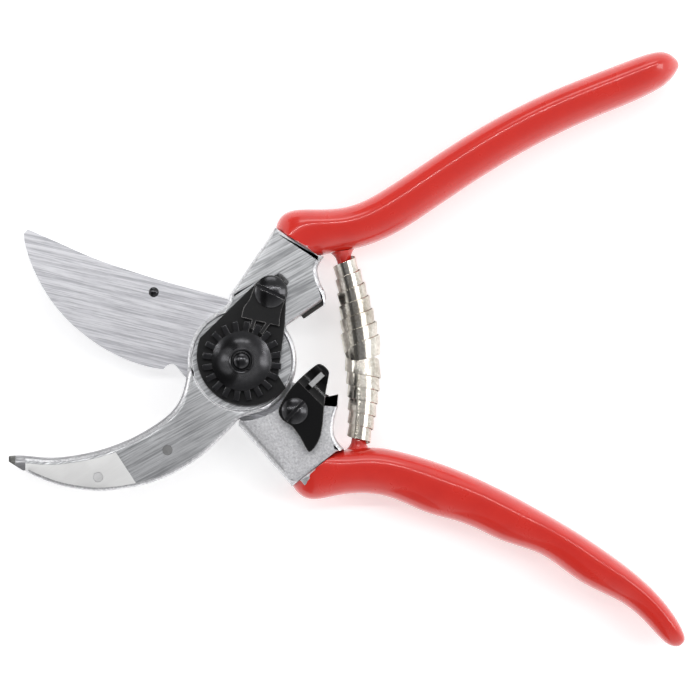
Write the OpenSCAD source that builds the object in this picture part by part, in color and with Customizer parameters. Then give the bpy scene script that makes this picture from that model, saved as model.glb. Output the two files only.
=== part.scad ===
// Bypass pruning shears, lying open on their back.
// The origin is on the pivot axis, in the outer face of the centre bolt's head. X points from the
// pivot towards the handles, Z points out of the nut side. The cutting half turns about Z.

/* [Closing] */
// Angle between the open stance and the stop, in degrees
close_angle = 56; // [52:1:57]
// Direction of the anvil half's stop face, in degrees from X
stop_angle = 34.6; // [33:0.1:36]

/* [Layers along the pivot] */
// Height of the centre bolt's head
bolt_head_h = 2.2; // [1.6:0.1:2.4]
// Thickness of the cutting half's bearing disc
disc_t = 5.7; // [5:0.1:6]
// Thickness of the cutting blade
blade_t = 3.4; // [3:0.1:3.6]
// Gap between pieces that turn past each other
turn_gap = 0.1; // [0.05:0.01:0.15]
// Thickness of the anvil half's ring and head
head_t = 7; // [6.5:0.1:7.5]
// Thickness of the steel anvil blade behind the hook
anvil_t = 3; // [2.5:0.1:3.5]
// Depth of the recess under the lock plate
recess_depth = 0.8; // [0.5:0.1:1.2]
// Thickness of the lock plate
plate_t = 1.5; // [1.2:0.1:1.8]
// Thickness of the toothed segment
segment_t = 2.4; // [2:0.1:2.6]

/* [Pivot] */
// Outer radius of the anvil half's ring
ring_r = 15.1; // [14.8:0.1:15.4]
// Radius of the centre bolt's bearing journal
bolt_r = 5; // [4.5:0.1:5.5]
// Radius of the centre bolt's threaded end
thread_r = 3.3; // [3:0.1:3.6]
// Radius of the centre bolt's head
bolt_head_r = 8; // [7:0.1:9]
// Radial clearance of the turning halves on the journal
journal_fit = 0.04; // [0.02:0.01:0.08]
// Number of teeth on the centre nut
nut_teeth = 20; // [20:1:20]
// Tip radius of the centre nut's teeth
nut_tip_r = 11; // [10.8:0.1:11.1]
// Root radius of the centre nut's teeth
nut_root_r = 8.3; // [8:0.1:8.6]

/* [Handles] */
// Thickness of a coated handle across the shears
grip_t = 17.6; // [17:0.1:17.8]
// Thickness of the red coat
coat_t = 0.9; // [0.8:0.1:1.2]
// Roundness of a handle's section, where 2 is an ellipse
section_power = 2.8; // [2.4:0.1:3.2]
// Handle width under which the section gets thinner towards the tip
taper_width = 10; // [9:0.5:11]

/* [Blade and anvil] */
// Width of the ground bevel on the back of the cutting blade
blade_bevel_w = 9; // [6:0.5:10]
// Thickness left at the cutting edge
edge_t = 0.4; // [0.3:0.1:0.6]
// Radius of the blade's spot pin
pin_r = 1.4; // [1:0.1:1.6]
// Radius of the anvil rivets
rivet_r = 1.4; // [1:0.1:1.6]

/* [Thumb catch] */
// Thickness of the thumb catch
catch_t = 3; // [2.5:0.1:3.2]
// Height of the catch above the forging's face
catch_lift = 1; // [0.9:0.1:1.2]
// Radius of the catch screw's shank
catch_shank_r = 1.85; // [1.6:0.05:2]

/* [Screws] */
// Radius of the segment screw's head
segment_head_r = 4.4; // [4:0.1:4.4]
// Radius of the catch screw's head
catch_head_r = 3.6; // [3.2:0.1:3.8]
// Width of a screwdriver slot
slot_w = 0.9; // [0.7:0.1:1.1]

/* [Spring] */
// Height of the spring strip
strip_h = 5.4; // [5:0.1:5.6]
// Thickness of the spring strip
strip_t = 0.3; // [0.25:0.05:0.3]
// Centre-line radius of the narrow end of each volute
coil_r_end = 3; // [2.9:0.05:3.1]
// Centre-line radius at the wide end of the upper volute
coil_r_mid = 5.3; // [5.2:0.1:5.4]
// Turns in each volute
coil_turns = 5.5; // [5:0.5:6]

/* [Hidden] */
$fn = 64;

forged = [0.76, 0.77, 0.79];
ground_steel = [0.7, 0.71, 0.74];
black_steel = [0.08, 0.08, 0.09];
coat_red = [0.82, 0.16, 0.12];
nickel = [0.86, 0.83, 0.76];
rubber = [0.12, 0.11, 0.1];

// Levels of the layers
disc_z = bolt_head_h + turn_gap;
blade_z = disc_z + disc_t;
head_z = blade_z + blade_t + turn_gap;
hook_z = head_z + anvil_t;
face_z = head_z + head_t;
plate_z = face_z - recess_depth;
segment_z = plate_z + plate_t;
segment_top = segment_z + segment_t;
grip_z = 10.2;
eps = 0.01;

// Radii around the pivot: the forging of each half clears the ring and blade of the other
neck_clear_r = ring_r + 1.5;
block_clear_r = 20;
recess_r = 13.9;
disc_r = 14.8;

// The stop faces lie along rays from the pivot
strip_t_stop = 1;
strip_r0 = 18.6;
strip_r1 = 28;
lug_angle = stop_angle - close_angle - 2;
lug_r = 28.8;
cushion_rise = 0.65;

// Stations of the upper handle: point on the outer edge, point on the spring side
upper_stations = [
    [9.2, 36.9, 21, 29.2], [9.9, 39.3, 23.2, 29.6], [11.8, 41.4, 25.6, 30],
    [15.5, 42.3, 27.8, 30.4], [21, 42.1, 30, 30.9], [27.5, 42.3, 33.2, 31.6],
    [33, 44, 38.3, 33.3], [38.5, 47, 44.6, 36.4], [46, 51.9, 52.4, 41.7],
    [55, 58, 61.2, 47.7], [65, 64.4, 70.6, 53.8], [75.5, 70.2, 80.6, 59.6],
    [86, 75.2, 90.6, 64.6], [96.5, 79.3, 100.4, 68.8], [105.5, 82.8, 108.6, 72],
    [111.5, 85.1, 113.9, 74.6], [115.5, 86.2, 117.4, 76.5], [118.6, 85.8, 120, 79.2],
    [120.6, 84, 121.2, 81.4]];
// Stations of the lower handle with its finger waves: spring side, outer edge
lower_stations = [
    [26, -25.2, 13.8, -34.7], [28.2, -24.7, 15.2, -36.8], [30.6, -24.4, 17.6, -38.6],
    [33.4, -24.1, 21.4, -38.7], [37, -24, 26.6, -37.3], [41.2, -24.6, 33.2, -36.6],
    [46, -25.8, 40.2, -37.5], [51.6, -27.4, 46, -40], [57.4, -29.4, 51.8, -42.7],
    [63.6, -31.9, 58.6, -44.2], [70, -34.9, 65, -46.4], [76.4, -38.2, 70.6, -49.6],
    [82.6, -41.6, 76.8, -51.6], [88.6, -45, 82.8, -53.4], [94.8, -48.8, 87.8, -56.8],
    [101, -53, 93.4, -61.4], [107, -57.3, 100.4, -64.7], [112.6, -62, 106.6, -67.6],
    [117.4, -67, 111.6, -72], [121, -72, 115.6, -76.6], [122.8, -75.6, 118.6, -79.4],
    [123.2, -77.4, 121, -79.6]];
section_sides = 20;
section_steps = 2;
core_inset = 2;
core_short = 3;

// Outline curves of the two jaws
blade_spine = [[-59.8, 36.6], [-52, 33.2], [-42, 28.8], [-32, 25.3], [-22, 22.2], [-12, 19.4],
    [-4.3, 17.2], [3, 14.4]];
blade_edge = [[-60.9, 35.4], [-60.4, 32], [-58.3, 25.8], [-54.5, 18.6], [-50, 12.7], [-45, 8],
    [-39, 3.7], [-32.5, 0.4], [-26.5, -1.6], [-22, -2.4]];
blade_heel = [[-21.2, -1.4], [-20, -0.9], [-18.8, -1.2], [-17.4, -2.8],
    [-15.4, -5], [-13.4, -6.2]];
hook_inner = [[-64.6, -26.4], [-61, -26.3], [-53, -26.9], [-45, -26], [-38, -24.3],
    [-31, -21.6], [-25, -18.3], [-20, -14.6], [-17.2, -10.8], [-15.8, -6.5], [-15, -2]];
hook_outer = [[-64.6, -27.9], [-60.6, -30.4], [-56, -32.6], [-50.6, -34.5], [-44.9, -35.6],
    [-39.5, -36.1], [-33, -35.5], [-26, -34], [-19, -31.3], [-12, -27], [-6.5, -22],
    [-2.6, -18.1], [-1.1, -16.4], [1.5, -15.3], [5, -14]];
anvil_back = [[-64.6, -27.9], [-60.6, -30.2], [-55, -32.6], [-48, -34], [-40, -34.2],
    [-32, -32], [-25, -29.4], [-19.6, -25.4], [-17, -20], [-16.2, -14.5]];
pin_at = [-24.7, 19.1];
rivets_at = [[-39.8, -32.2], [-20.6, -24.7]];
tip_facet_at = [-31.8, -30];
tip_facet_turn = 123;
tip_facet_slope = 3.4;

// Outline curves of the upper head and the lower neck
head_left = [[-10, 10], [-8, 12.8], [-5.3, 14.6], [-3.9, 16], [-3.4, 18.2]];
head_right = [[22.6, 28.9], [21.3, 27], [20.8, 25], [21.6, 21.8], [22.9, 19.2], [23.3, 17.4]];
neck_left = [-1, -17.9];
neck_right = [[28.2, -24.6], [26.3, -22.4], [25.3, -19.6], [25.7, -15.5], [26.6, -12.6]];
tang_w = 11;
tang_r = 25;
tang_angle = -60;
blade_screw_r = 20.5;

// Lock plate, segment and thumb catch
plate_centre = [1.5, 1.5];
plate_r = 14;
lobe_at = [8.05, 19.1];
lobe_r = 4.6;
plate_from = 160;
plate_to = 320;
plate_right = [[10.1, -4], [10.9, 2.4], [11.9, 10.2]];
segment_left = [[3.9, 21.6], [2.2, 17.1], [0.6, 14.8], [-0.1, 12]];
segment_right = [[10.4, 9.6], [10.7, 12.8], [11.8, 16.3]];
segment_gap_r = nut_tip_r + 0.35;
segment_teeth = [55, 73];
tooth_phase = 10;
catch_at = [14.7, -13.8];
catch_line = [[10.2, -14.2], [10.6, -12.3], [12.6, -8.8], [15.5, -5.4], [19.6, -1.8], [21.7, -0.8],
    [24, -2.7], [23.9, -5], [23.2, -8.8], [22.8, -12.5], [22.2, -18.8], [21, -22.6],
    [18.8, -25.2], [17.4, -23.4], [16.1, -21], [13.8, -18], [11.3, -16.3]];
scoop_at = [20.4, -5.6];
ridge_from = [19, -6.8];
ridge_to = [22.4, -3.6];
segment_slot = -25;
catch_slot = 46;

// Spring: seat points of the two volutes and the point where they meet
seat_upper = [28.2, 28.2];
seat_lower = [32.3, -22.4];
wide_end_upper = [33.4, -0.4];
wide_end_lower = [33.2, 3.4];
spring_bow = 0.8;
nest_gap = 0.45;
peg_r = 2.3;
peg_root_r = 3.4;
peg_h = 5.4;
coil_steps = 20;

function mix(a, b, t) = a * (1 - t) + b * t;
function polar(r, a) = [r * cos(a), r * sin(a)];
function arc(centre, r, from, to, n) = [for (i = [0:n]) centre + polar(r, mix(from, to, i / n))];
function unit(v) = v / norm(v);
function left_of(v) = [-v[1], v[0]];
// One piece of a smooth curve through p[i] and p[i + 1]
function knot(p, i) = p[max(0, min(len(p) - 1, i))];
function bend(p, i, t) =
    let(a = knot(p, i - 1), b = knot(p, i), c = knot(p, i + 1), d = knot(p, i + 2))
    b + (c - a) * t / 2 + (2 * a - 5 * b + 4 * c - d) * t * t / 2
        + (3 * b - a - 3 * c + d) * t * t * t / 2;
// Smooth curve through the points p, with n steps between two points
function smooth(p, n) = concat([for (i = [0:len(p) - 2], k = [0:n - 1]) bend(p, i, k / n)],
    [p[len(p) - 1]]);
function closed(p, n) = let(m = len(p))
    [for (i = [0:m - 1], k = [0:n - 1])
        let(a = p[(i + m - 1) % m], b = p[i], c = p[(i + 1) % m], d = p[(i + 2) % m], t = k / n)
        b + (c - a) * t / 2 + (2 * a - 5 * b + 4 * c - d) * t * t / 2
            + (3 * b - a - 3 * c + d) * t * t * t / 2];
function reversed(p) = [for (i = [len(p) - 1:-1:0]) p[i]];

// Handle section across a station s, drawn in by inset
function power_cos(a, e) = sign(cos(a)) * pow(abs(cos(a)), e);
function power_sin(a, e) = sign(sin(a)) * pow(abs(sin(a)), e);
function section(s, inset) =
    let(top = [s[0], s[1]], low = [s[2], s[3]], w = norm(top - low), across = unit(top - low),
        half_w = w / 2 - inset, half_h = grip_t / 2 * min(1, w / taper_width) - inset,
        e = 2 / section_power, mid = (top + low) / 2)
    [for (k = [0:section_sides - 1])
        let(a = 360 * k / section_sides, p = mid + across * half_w * power_cos(a, e))
        [p[0], p[1], grip_z + half_h * power_sin(a, e)]];
function skin(first, rings, flip) = [for (i = [0:rings - 2], k = [0:section_sides - 1])
    let(n = section_sides, a = first + i * n + k, b = first + i * n + (k + 1) % n)
    for (f = [[b + n, b, a], [a + n, b + n, a]]) flip ? reversed(f) : f];
function cap(first, flip) = let(f = [for (k = [section_sides - 1:-1:0]) first + k])
    [flip ? reversed(f) : f];
function join_rings(a, b) = [for (k = [0:section_sides - 1])
    let(m = (k + 1) % section_sides)
    for (f = [[b + m, b + k, a + k], [a + m, b + m, a + k]]) f];
function flat(lists) = [for (l = lists) for (p = l) p];

// Coat of a handle: a closed cup that is open at the mouth
module coat(stations) {
    path = smooth(stations, section_steps);
    outer = len(path);
    inner = outer - core_short;
    points = concat(flat([for (s = path) section(s, 0)]),
        flat([for (i = [0:inner - 1]) section(path[i], coat_t)]));
    inner_at = outer * section_sides;
    last = (outer - 1) * section_sides;
    inner_last = inner_at + (inner - 1) * section_sides;
    faces = concat(skin(0, outer, false), cap(last, false), skin(inner_at, inner, true),
        cap(inner_last, true), join_rings(0, inner_at));
    polyhedron(points, faces);
}

// Forged core inside the coat, started a little way back inside the head
module core(stations) {
    path = smooth(stations, section_steps);
    inner = len(path) - core_short;
    mouth = section(path[0], coat_t);
    across = unit([path[0][0] - path[0][2], path[0][1] - path[0][3]]);
    back = core_inset * left_of(across);
    start = [for (p = mouth) [p[0] + back[0], p[1] + back[1], p[2]]];
    points = concat(start, flat([for (i = [0:inner - 1]) section(path[i], coat_t)]));
    faces = concat(cap(0, true), skin(0, inner + 1, false), cap(inner * section_sides, false));
    polyhedron(points, faces);
}

// Prism on the outline edge + rest, counter-clockwise, ground to an edge at its low face: there
// the edge's points are drawn in by up to w, less near both ends of the edge
module bevelled_prism(edge, rest, w, low, bevel_top, top) {
    m = len(edge);
    drawn = [for (i = [0:m - 1])
        let(a = edge[max(0, i - 1)], b = edge[min(m - 1, i + 1)])
        w * min(1, (i + 0.3) / 8, (m - 1 - i + 0.3) / 4) * left_of(unit(b - a))];
    n = m + len(rest);
    points = [for (level = [[low, 1], [bevel_top, 0], [top, 0]], i = [0:n - 1])
        let(p = i < m ? edge[i] + level[1] * drawn[i] : rest[i - m]) [p[0], p[1], level[0]]];
    sides = [for (l = [0, 1], i = [0:n - 1])
        let(a = l * n + i, b = l * n + (i + 1) % n)
        for (f = [[b + n, b, a], [a + n, b + n, a]]) f];
    low_cap = [for (i = [0:n - 1]) i];
    top_cap = [for (i = [n - 1:-1:0]) 2 * n + i];
    polyhedron(points, concat([low_cap], sides, [top_cap]));
}

module along_stop(angle, from_r, to_r, rise, thick) {
    rotate(angle) translate([from_r, rise]) square([to_r - from_r, thick]);
}

// Domed screw head with a slot, standing on z = 0
module slotted_head(r, rise, rim, slot_turn) {
    ball = (r * r + rise * rise) / (2 * rise);
    difference() {
        union() {
            cylinder(r = r, h = rim);
            intersection() {
                translate([0, 0, rim + rise - ball]) sphere(ball);
                translate([0, 0, rim - eps]) cylinder(r = r, h = rise + 1);
            }
        }
        rotate(slot_turn) translate([-r - 1, -slot_w / 2, rim * 0.6]) cube([2 * r + 2, slot_w, 5]);
    }
}

module head_shape() {
    polygon(concat(smooth(head_left, 4), [[9.2, 36.9], [21, 29.2]], smooth(head_right, 4), [
        polar(28.6, stop_angle) + strip_t_stop * left_of(polar(1, stop_angle)),
        polar(13.5, stop_angle) + strip_t_stop * left_of(polar(1, stop_angle))]));
}

module neck_shape() {
    polygon(concat([neck_left, [13.8, -34.7], [26, -25.2]], smooth(neck_right, 4),
        [polar(lug_r, lug_angle), polar(14, lug_angle), [0, -10]]));
}

module tang_shape() {
    rotate(tang_angle) translate([0, -tang_w / 2]) square([tang_r, tang_w]);
}

module plate_shape() {
    polygon(concat(arc(plate_centre, plate_r, plate_from, plate_to, 24), plate_right,
        arc(lobe_at, lobe_r, -26, 135, 14)));
}

module segment_shape() {
    difference() {
        union() {
            polygon(concat(smooth(segment_left, 3), smooth(segment_right, 3), [lobe_at]));
            translate(lobe_at) circle(lobe_r - 0.1);
        }
        circle(segment_gap_r);
    }
    for (a = segment_teeth) {
        rotate(a) translate([nut_root_r + 0.9, -0.55]) square([4, 1.1]);
    }
}

// Anvil half: ring, hook, head and the core of the upper handle, one forging
module anvil_handle() color(forged) {
    difference() {
        union() {
            translate([0, 0, head_z]) linear_extrude(head_t) {
                circle(ring_r);
                head_shape();
            }
            translate([0, 0, hook_z]) linear_extrude(face_z - hook_z) {
                polygon(concat(smooth(hook_inner, 4), [[0, 0]], reversed(smooth(hook_outer, 4))));
            }
            translate([0, 0, disc_z]) linear_extrude(head_z - disc_z + eps) difference() {
                head_shape();
                circle(block_clear_r);
            }
            core(upper_stations);
        }
        translate([0, 0, -1]) cylinder(r = bolt_r, h = 30);
        translate([0, 0, plate_z]) linear_extrude(head_t) {
            circle(recess_r);
            plate_shape();
        }
        translate([lobe_at[0], lobe_at[1], head_z + 1]) cylinder(r = 2, h = head_t);
        for (p = rivets_at) {
            translate([p[0], p[1], 0]) cylinder(r = rivet_r, h = 30, $fn = 32);
        }
        translate([tip_facet_at[0], tip_facet_at[1], face_z]) rotate(tip_facet_turn) {
            rotate([-tip_facet_slope, 0, 0]) translate([-30, 0, 0]) cube([60, 60, 9]);
        }
    }
}

// Red coat of the upper handle with its spring peg
module upper_grip() color(coat_red) {
    coat(upper_stations);
    spring_peg(seat_upper, wide_end_upper);
}

module lower_grip() color(coat_red) {
    coat(lower_stations);
    spring_peg(seat_lower, wide_end_lower);
}

// Peg that the narrow end of a volute sits on
module spring_peg(seat, toward) {
    way = unit(toward - seat);
    root = seat - way * 2.4;
    translate([root[0], root[1], grip_z]) rotate(atan2(way[1], way[0])) rotate([0, 90, 0]) {
        cylinder(r1 = peg_root_r, r2 = peg_r, h = peg_h, $fn = 32);
    }
}

// Steel anvil blade riveted behind the hook
module anvil_blade() color(ground_steel) difference() {
    translate([0, 0, head_z]) linear_extrude(anvil_t) difference() {
        polygon(concat(smooth(hook_inner, 4), reversed(smooth(anvil_back, 4))));
        circle(ring_r);
    }
    for (p = rivets_at) {
        translate([p[0], p[1], 0]) cylinder(r = rivet_r, h = 30, $fn = 32);
    }
}

module anvil_rivets() color(black_steel) {
    rivet_h = head_t - 0.6;
    for (p = rivets_at) {
        translate([p[0], p[1], head_z]) cylinder(r = rivet_r, h = rivet_h, $fn = 32);
    }
}

// Lock plate in the head's recess, under the nut and the segment
module lock_plate() color(black_steel) {
    translate([0, 0, plate_z]) linear_extrude(plate_t) difference() {
        plate_shape();
        circle(thread_r);
        translate(lobe_at) circle(2);
    }
}

module toothed_segment() color(black_steel) {
    translate([0, 0, segment_z]) linear_extrude(segment_t) difference() {
        segment_shape();
        translate(lobe_at) circle(2);
    }
}

module segment_screw() color(black_steel) {
    translate([lobe_at[0], lobe_at[1], segment_top]) {
        slotted_head(segment_head_r, 1.2, 0.9, segment_slot);
        translate([0, 0, head_z + 1 - segment_top]) cylinder(r = 2, h = segment_top - head_z - 1 + eps);
    }
}

// Centre bolt: flat head, bearing journal, threaded end with a domed point
module centre_bolt() color(black_steel) {
    cylinder(r1 = bolt_head_r - 0.6, r2 = bolt_head_r, h = 0.6);
    translate([0, 0, 0.6 - eps]) cylinder(r = bolt_head_r, h = bolt_head_h - 0.6 + eps);
    cylinder(r = bolt_r, h = plate_z);
    cylinder(r = thread_r, h = segment_z + 4.6);
    translate([0, 0, segment_z + 4.6 - eps]) cylinder(r1 = 2.4, r2 = 1.6, h = 0.8);
}

// Centre nut with its ring of teeth and its cone
module centre_nut() color(black_steel) translate([0, 0, segment_z]) difference() {
    union() {
        cylinder(r = nut_root_r, h = 2.6);
        for (k = [0:nut_teeth - 1]) rotate(tooth_phase + 360 * k / nut_teeth) {
            linear_extrude(2.2) polygon([[nut_root_r - 0.5, -1], [nut_tip_r, -0.75],
                [nut_tip_r, 0.75], [nut_root_r - 0.5, 1]]);
        }
        translate([0, 0, 2.6 - eps]) cylinder(r1 = nut_root_r - 0.2, r2 = 3.9, h = 2.2);
    }
    translate([0, 0, -1]) cylinder(r = thread_r, h = 9);
}

// Thin wear strip on the anvil half's stop face
module stop_strip() color(rubber) {
    translate([0, 0, disc_z + 1.2]) linear_extrude(face_z - disc_z - 2.4) {
        along_stop(stop_angle, max(strip_r0, block_clear_r + 0.6), strip_r1, 0, strip_t_stop);
    }
}

// Cutting half: bearing disc, neck, stop lug and the core of the lower handle
module blade_handle() color(forged) {
    difference() {
        union() {
            translate([0, 0, disc_z]) linear_extrude(disc_t) {
                circle(disc_r);
                neck_shape();
            }
            translate([0, 0, blade_z - eps]) linear_extrude(face_z - blade_z + eps) difference() {
                neck_shape();
                circle(neck_clear_r);
            }
            core(lower_stations);
        }
        translate([0, 0, -1]) cylinder(r = bolt_r + journal_fit, h = 30);
        translate([0, 0, blade_z]) linear_extrude(blade_t) tang_shape();
        at_blade_screw() {
            cylinder(r = 1.8, h = 10);
            translate([0, 0, -3]) cylinder(r = 3.4, h = 5);
        }
        translate([catch_at[0], catch_at[1], face_z - 7]) cylinder(r = catch_shank_r, h = 8);
        cushion_seat(1);
    }
}

module at_blade_screw() {
    spot = polar(blade_screw_r, tang_angle);
    translate([spot[0], spot[1], disc_z]) children();
}

// Slotted screw that holds the blade's tang from the back
module blade_screw() color(black_steel) at_blade_screw() {
    difference() {
        union() {
            cylinder(r = 3.3, h = 2);
            cylinder(r = 1.8, h = disc_t + blade_t);
        }
        translate([-4, -slot_w / 2, -eps]) cube([8, slot_w, 1.1]);
    }
}

// Pocket and rubber block in the lug's stop face
module cushion_seat(rise) {
    translate([0, 0, grip_z - 4]) linear_extrude(8) {
        along_stop(lug_angle, 19.5, 26, -3, 3 + rise);
    }
}

module stop_cushion() color(rubber) cushion_seat(cushion_rise);

// Cutting blade with its tang, ground on the back
module cutting_blade() color(ground_steel) {
    difference() {
        union() {
            bevelled_prism(smooth(blade_edge, 4), concat(smooth(blade_heel, 3), [[0, 0]],
                reversed(smooth(blade_spine, 4))), blade_bevel_w, blade_z,
                blade_z + blade_t - edge_t, blade_z + blade_t);
            translate([0, 0, blade_z]) linear_extrude(blade_t) {
                circle(disc_r - 0.4);
                tang_shape();
            }
        }
        translate([0, 0, -1]) cylinder(r = bolt_r + journal_fit, h = 30);
        translate([pin_at[0], pin_at[1], 0]) cylinder(r = pin_r, h = 30, $fn = 32);
        at_blade_screw() cylinder(r = 1.8, h = 20);
    }
}

module blade_pin() color(black_steel) {
    translate([pin_at[0], pin_at[1], blade_z]) cylinder(r = pin_r, h = blade_t, $fn = 32);
}

// Thumb catch: flat lever with a scoop and a ridge for the thumb
module thumb_catch() color(black_steel) {
    base_z = face_z + catch_lift;
    difference() {
        union() {
            translate([0, 0, base_z]) linear_extrude(catch_t) polygon(closed(catch_line, 3));
            translate([catch_at[0], catch_at[1], base_z - 0.5]) cylinder(r = 3.9, h = 0.6);
        }
        translate([catch_at[0], catch_at[1], 0]) cylinder(r = catch_shank_r + 0.05, h = 40);
        translate([scoop_at[0], scoop_at[1], base_z + catch_t + 4.2]) rotate(45) {
            rotate([90, 0, 0]) translate([0, 0, -10]) cylinder(r = 5.4, h = 20);
        }
    }
    ridge = ridge_to - ridge_from;
    translate([ridge_from[0], ridge_from[1], base_z + 1]) rotate(atan2(ridge[1], ridge[0])) {
        translate([0, -0.7, 0]) cube([norm(ridge), 1.4, catch_t - 0.4]);
    }
}

module catch_screw() color(black_steel) {
    head_at = face_z + catch_lift + catch_t + turn_gap;
    translate([catch_at[0], catch_at[1], head_at]) {
        slotted_head(catch_head_r, 1.1, 0.8, catch_slot);
        translate([0, 0, face_z - 7 - head_at]) {
            cylinder(r = catch_shank_r, h = head_at - face_z + 7 + eps);
        }
    }
}

module catch_washer() color(nickel) translate([catch_at[0], catch_at[1], face_z]) difference() {
    cylinder(r = 3.6, h = 0.4);
    translate([0, 0, -1]) cylinder(r = catch_shank_r, h = 3);
}

// One volute: a strip wound on edge, narrow at its seat and wide at the middle of the spring
module volute(seat, wide_end, wide_r, bow, hand) {
    way = unit(wide_end - seat);
    length = norm(wide_end - seat);
    pitch = (length - strip_h) / coil_turns;
    last = coil_turns * coil_steps;
    ring = [for (i = [0:last])
        let(t = i / last, a = hand * 360 * i / coil_steps, r = mix(coil_r_end, wide_r, t),
            z = pitch * i / coil_steps)
        for (c = [[-strip_t / 2, 0], [strip_t / 2, 0], [strip_t / 2, strip_h], [-strip_t / 2, strip_h]])
        let(u = (z + c[1]) / length, off = bow * 4 * u * (1 - u))
        [(r + c[0]) * cos(a), (r + c[0]) * sin(a) + off, z + c[1]]];
    sides = [for (i = [0:last - 1], k = [0:3])
        let(m = (k + 1) % 4, a = 4 * i + k, b = 4 * i + m)
        for (f = [[a, b, b + 4], [a, b + 4, a + 4]]) hand > 0 ? f : reversed(f)];
    first_cap = [0, 1, 2, 3];
    last_cap = [4 * last + 3, 4 * last + 2, 4 * last + 1, 4 * last];
    faces = concat([hand > 0 ? reversed(first_cap) : first_cap], sides,
        [hand > 0 ? reversed(last_cap) : last_cap]);
    translate([seat[0], seat[1], grip_z]) rotate(atan2(way[1], way[0])) rotate([0, 90, 0]) {
        polyhedron(ring, faces);
    }
}

module spring_upper() color(nickel) {
    volute(seat_upper, wide_end_upper, coil_r_mid, spring_bow, 1);
}

// The lower volute's wide end nests inside the upper one's
module spring_lower() color(nickel) {
    volute(seat_lower, wide_end_lower, coil_r_mid - nest_gap, -spring_bow, -1);
}

anvil_handle();
upper_grip();
anvil_blade();
anvil_rivets();
lock_plate();
toothed_segment();
segment_screw();
centre_bolt();
centre_nut();
stop_strip();
blade_handle();
lower_grip();
cutting_blade();
blade_pin();
blade_screw();
stop_cushion();
thumb_catch();
catch_screw();
catch_washer();
spring_upper();
spring_lower();
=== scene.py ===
# %% [markdown]
# # Bypass pruning shears
# The shears lie open on their back: two forged aluminium halves, a steel cutting blade, a hook
# with a steel anvil blade, red dipped handles, a toothed centre nut with its lock, a thumb catch
# and a strip spring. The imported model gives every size; this lesson gives each piece its looks.

import math

import bmesh
import bpy
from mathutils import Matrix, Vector


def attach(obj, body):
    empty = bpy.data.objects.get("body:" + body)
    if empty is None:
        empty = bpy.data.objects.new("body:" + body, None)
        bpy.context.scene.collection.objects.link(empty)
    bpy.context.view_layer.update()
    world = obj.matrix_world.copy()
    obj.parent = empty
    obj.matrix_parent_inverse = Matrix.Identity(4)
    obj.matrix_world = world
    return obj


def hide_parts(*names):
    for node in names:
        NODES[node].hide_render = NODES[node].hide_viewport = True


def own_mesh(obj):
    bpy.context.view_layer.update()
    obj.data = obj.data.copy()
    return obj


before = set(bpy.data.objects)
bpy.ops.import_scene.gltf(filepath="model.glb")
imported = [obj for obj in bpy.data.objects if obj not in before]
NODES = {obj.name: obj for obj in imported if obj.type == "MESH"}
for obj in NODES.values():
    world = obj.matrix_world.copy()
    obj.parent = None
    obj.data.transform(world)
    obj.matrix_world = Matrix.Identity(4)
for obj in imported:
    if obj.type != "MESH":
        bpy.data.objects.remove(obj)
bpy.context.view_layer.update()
MM = 0.001

# %% [markdown]
# ## A few hand tools
# Every operator acts on all that is selected, so each tool first selects its own piece. `edges`
# picks by place and direction, which does in code what a click does in the window.


# %% Selecting and editing
def only(obj):
    """Selects obj alone and makes it active."""
    bpy.ops.object.select_all(action="DESELECT")
    obj.select_set(True)
    bpy.context.view_layer.objects.active = obj
    return obj


def edit(obj):
    only(obj)
    bpy.ops.object.mode_set(mode="EDIT")
    bpy.ops.mesh.select_mode(type="VERT")


def leave():
    bpy.ops.object.mode_set(mode="OBJECT")


def mm(*point):
    return Vector(point) * MM


def edges(obj, test):
    """Selects the edges between two faces that pass test(edge middle in mm, normal, normal)."""
    bpy.ops.mesh.select_mode(type="EDGE")
    bpy.ops.mesh.select_all(action="DESELECT")
    shape = bmesh.from_edit_mesh(obj.data)
    picked = 0
    for edge in shape.edges:
        if len(edge.link_faces) != 2:
            continue
        middle = (edge.verts[0].co + edge.verts[1].co) / 2 / MM
        a, b = (face.normal for face in edge.link_faces)
        if test(middle, a, b):
            edge.select_set(True)
            picked += 1
    bmesh.update_edit_mesh(obj.data)
    return picked


def rim(upward, side):
    """An edge test's first half: one face looks up, the other sideways."""
    return upward.z > 0.9 and abs(side.z) < 0.35


def modifier(obj, kind, **values):
    """Adds one modifier with its values and applies it."""
    only(obj)
    bpy.ops.object.modifier_add(type=kind)
    made = obj.modifiers[-1]
    for name, value in values.items():
        setattr(made, name, value)
    bpy.ops.object.modifier_apply(modifier=made.name)


def ease(obj, width, segments=2, angle=35):
    """Rounds every edge sharper than angle, as deburring does."""
    modifier(obj, "BEVEL", limit_method="ANGLE", angle_limit=math.radians(angle), width=width * MM,
             segments=segments, miter_outer="MITER_ARC", use_clamp_overlap=True)


SAME_POINT = 0.004
SAME_PLANE = math.radians(0.02)
SAME_WALL = math.radians(0.1)


def traced(node, name):
    """A copy of a CAD node whose points are merged and whose triangles are joined where they are flat.

    The angles stay small, so that the many narrow walls of a curve don't become one face.
    """
    obj = bpy.data.objects.new(name, NODES[node].data.copy())
    bpy.context.scene.collection.objects.link(obj)
    obj.data.materials.clear()
    edit(obj)
    bpy.ops.mesh.select_all(action="SELECT")
    bpy.ops.mesh.remove_doubles(threshold=SAME_POINT * MM)
    bpy.ops.mesh.dissolve_limited(angle_limit=SAME_PLANE)
    bpy.ops.mesh.tris_convert_to_quads(face_threshold=SAME_WALL, shape_threshold=math.pi)
    leave()
    bpy.ops.mesh.customdata_custom_splitnormals_clear()
    return obj


# %% [markdown]
# A screw, a nut and a rivet come off a lathe. The lathe here is a circle that is extruded ring by
# ring up a profile of radius and height, which closes at both ends and needs no merging.


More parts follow.
